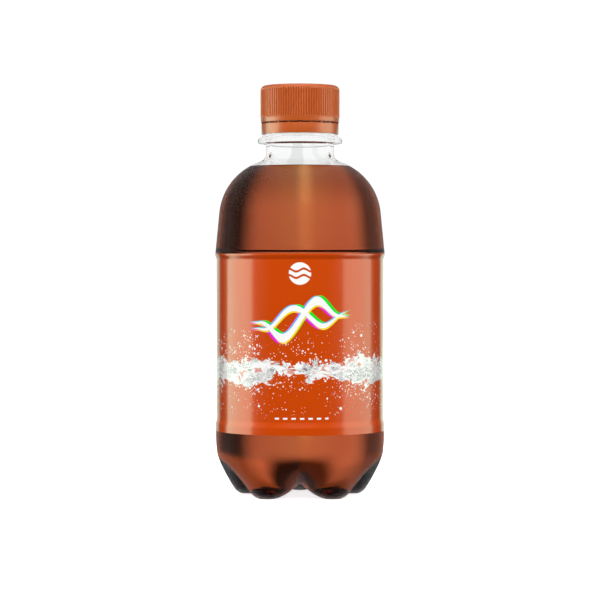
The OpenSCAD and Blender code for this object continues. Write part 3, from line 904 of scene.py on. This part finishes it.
BOTTLE_MIDDLE = 0.08  # height in metres that the lamps point at
FILL_DISTANCE, STRIP_DISTANCE = 1.8, 1.0
STRIP_COLOUR = (0.84, 1.08, 0.78)


def soft_box(name, turn, lift, distance, size, radiance):
    """A rectangular soft box at a direction from the middle of the bottle, facing it. Sizes and
    distances of lamps are metres."""
    lamp = bpy.data.lights.new(name, "AREA")
    lamp.shape, lamp.size, lamp.size_y = "RECTANGLE", size[0], size[1]
    lamp.energy = radiance * math.pi * size[0] * size[1]
    holder = bpy.data.objects.new(name, lamp)
    turn, lift = math.radians(turn), math.radians(lift)
    flat = math.cos(lift)
    way = Vector((math.sin(turn) * flat, -math.cos(turn) * flat, math.sin(lift)))
    holder.location = Vector((0, 0, BOTTLE_MIDDLE)) + way * distance
    holder.rotation_euler = way.to_track_quat("Z", "Y").to_euler()
    holder.visible_camera = holder.visible_transmission = False
    bpy.context.scene.collection.objects.link(holder)
    return holder


def fill(name, turn, lift, size, radiance):
    """A soft box that only lights dull surfaces and leaves no reflection."""
    holder = soft_box(name, turn, lift, FILL_DISTANCE, (size, size), radiance)
    holder.visible_glossy = False


def strip(name, turn, lift, size, radiance, pieces):
    """A slightly green soft box that only shows as a pale band on the opaque pieces."""
    holder = soft_box(name, turn, lift, STRIP_DISTANCE, size, radiance)
    holder.data.color = STRIP_COLOUR
    holder.visible_diffuse = False
    receivers = bpy.data.collections.new(name)
    for piece in pieces:
        receivers.objects.link(piece)
    holder.light_linking.receiver_collection = receivers


CARD_Z, CARD_R, CARD_COLUMNS = (130.0, 900.0), 200.0, 48
CARD_WHITE, CARD_LOW_Z, CARD_LOW_SHADE = 0.98, (142.0, 136.0), 0.14
# Soft grey stripes behind the bottle: from x, to x, how soft, how dark
CARD_STRIPES = ((-5.5, 1.0, 2.0, 0.16), (11.0, 15.0, 2.5, 0.08))
CARD_STRIPES_Y = (0.0, 50.0)
CLEAR_FACES = (4.6, 4.4)  # a ray that has crossed more faces than this meets a black card


def neck_card():
    """A white card round the bottle above the drink, seen only through the clear neck."""
    columns = CARD_COLUMNS
    angles = np.radians(360 * np.arange(columns) / columns)
    verts = [(CARD_R * math.cos(a), CARD_R * math.sin(a), z) for z in CARD_Z for a in angles]
    faces = [[j, (j + 1) % columns, columns + (j + 1) % columns, columns + j]
             for j in range(columns)]
    piece = piece_of("neck_card", verts, faces)
    paint = Paint("neck_card")
    paint.set(Base_Color=(0, 0, 0, 1), Emission_Color=(1, 1, 1, 1))
    x, y, z = paint.axes()
    stripes = None
    for low, high, soft, dark in CARD_STRIPES:
        stripe = x.window(low, high, soft) * dark
        stripes = stripe if stripes is None else stripes + stripe
    depth = paint.tree.nodes.new("ShaderNodeLightPath").outputs["Transmission Depth"]
    clear = Field(paint.tree, depth).rise(*CLEAR_FACES)
    shade = z.rise(*CARD_LOW_Z) * CARD_LOW_SHADE
    white = stripes * y.rise(*CARD_STRIPES_Y) * -1.0 - shade + CARD_WHITE
    paint.feed("Emission Strength", white * clear)
    paint.material.cycles.emission_sampling = "NONE"
    piece.data.materials.append(paint.material)
    piece.visible_camera = piece.visible_glossy = False
    piece.visible_diffuse = piece.visible_shadow = False


FLOOR_REACH = 6000
FLOOR_LIGHT, FLOOR_FAR_LIGHT, FLOOR_FAR = 0.8, 0.3, (60.0, 500.0)


def floor():
    """A plain pale floor, a little brighter away from the bottle. Only the camera sees it."""
    reach = FLOOR_REACH
    verts = [(-reach, -reach, 0), (reach, -reach, 0), (reach, reach, 0), (-reach, reach, 0)]
    piece = piece_of("studio_floor", verts, [[0, 1, 2, 3]])
    paint = Paint("studio_floor")
    paint.set(Base_Color=(0.9, 0.9, 0.9, 1), Roughness=0.9, Emission_Color=(1, 1, 1, 1),
              Specular_IOR_Level=0.1)
    x, y, z = paint.axes()
    far = (x * x + y * y).op("SQRT").rise(*FLOOR_FAR)
    paint.feed("Emission Strength", far * FLOOR_FAR_LIGHT + FLOOR_LIGHT)
    piece.data.materials.append(paint.material)
    piece.visible_glossy = piece.visible_diffuse = piece.visible_transmission = False


# The camera looks at the bottle from 0.95 m, a little above its middle, tilted slightly down.
CAMERA_DISTANCE, CAMERA_HEIGHT, CAMERA_TILT, LENS = 950.0, 91.4, 0.94, 146.4
BOUNCES, GLOSSY_BOUNCES = 24, 12  # enough for light that crosses wall, drink and wall again


def camera():
    """The camera in front of the bottle."""
    data = bpy.data.cameras.new("camera")
    data.lens, data.sensor_width = LENS, 36
    data.clip_start, data.clip_end = 0.05, 50
    holder = bpy.data.objects.new("camera", data)
    holder.location = (0, -CAMERA_DISTANCE * MM, CAMERA_HEIGHT * MM)
    holder.rotation_euler = (math.radians(90 - CAMERA_TILT), 0, 0)
    bpy.context.scene.collection.objects.link(holder)
    bpy.context.scene.camera = holder


studio_world()
floor()
for name, turn, lift, size, radiance in (
        ("front_fill", 0, 38, 1.4, 5.4), ("left_fill", -70, 15, 1.4, 3.3),
        ("right_fill", 70, 15, 1.4, 3.3), ("back_fill", 180, 30, 1.4, 4.5),
        ("top_fill", 0, 85, 1.2, 0.4)):
    fill(name, turn, lift, size, radiance)
for name, turn, lift, size, radiance in (
        ("left_strip", -93, 0, (0.93, 1.0), 3.0), ("right_strip", 87, 0, (1.0, 1.0), 1.9),
        ("left_rim", -160, -2, (0.5, 0.3), 0.6), ("right_rim", 160, -2, (0.5, 0.3), 0.9)):
    strip(name, turn, lift, size, radiance, opaque)
neck_card()
camera()
scene = bpy.context.scene
scene.view_settings.view_transform = "Standard"
scene.cycles.max_bounces = scene.cycles.transmission_bounces = BOUNCES
scene.cycles.glossy_bounces = GLOSSY_BOUNCES
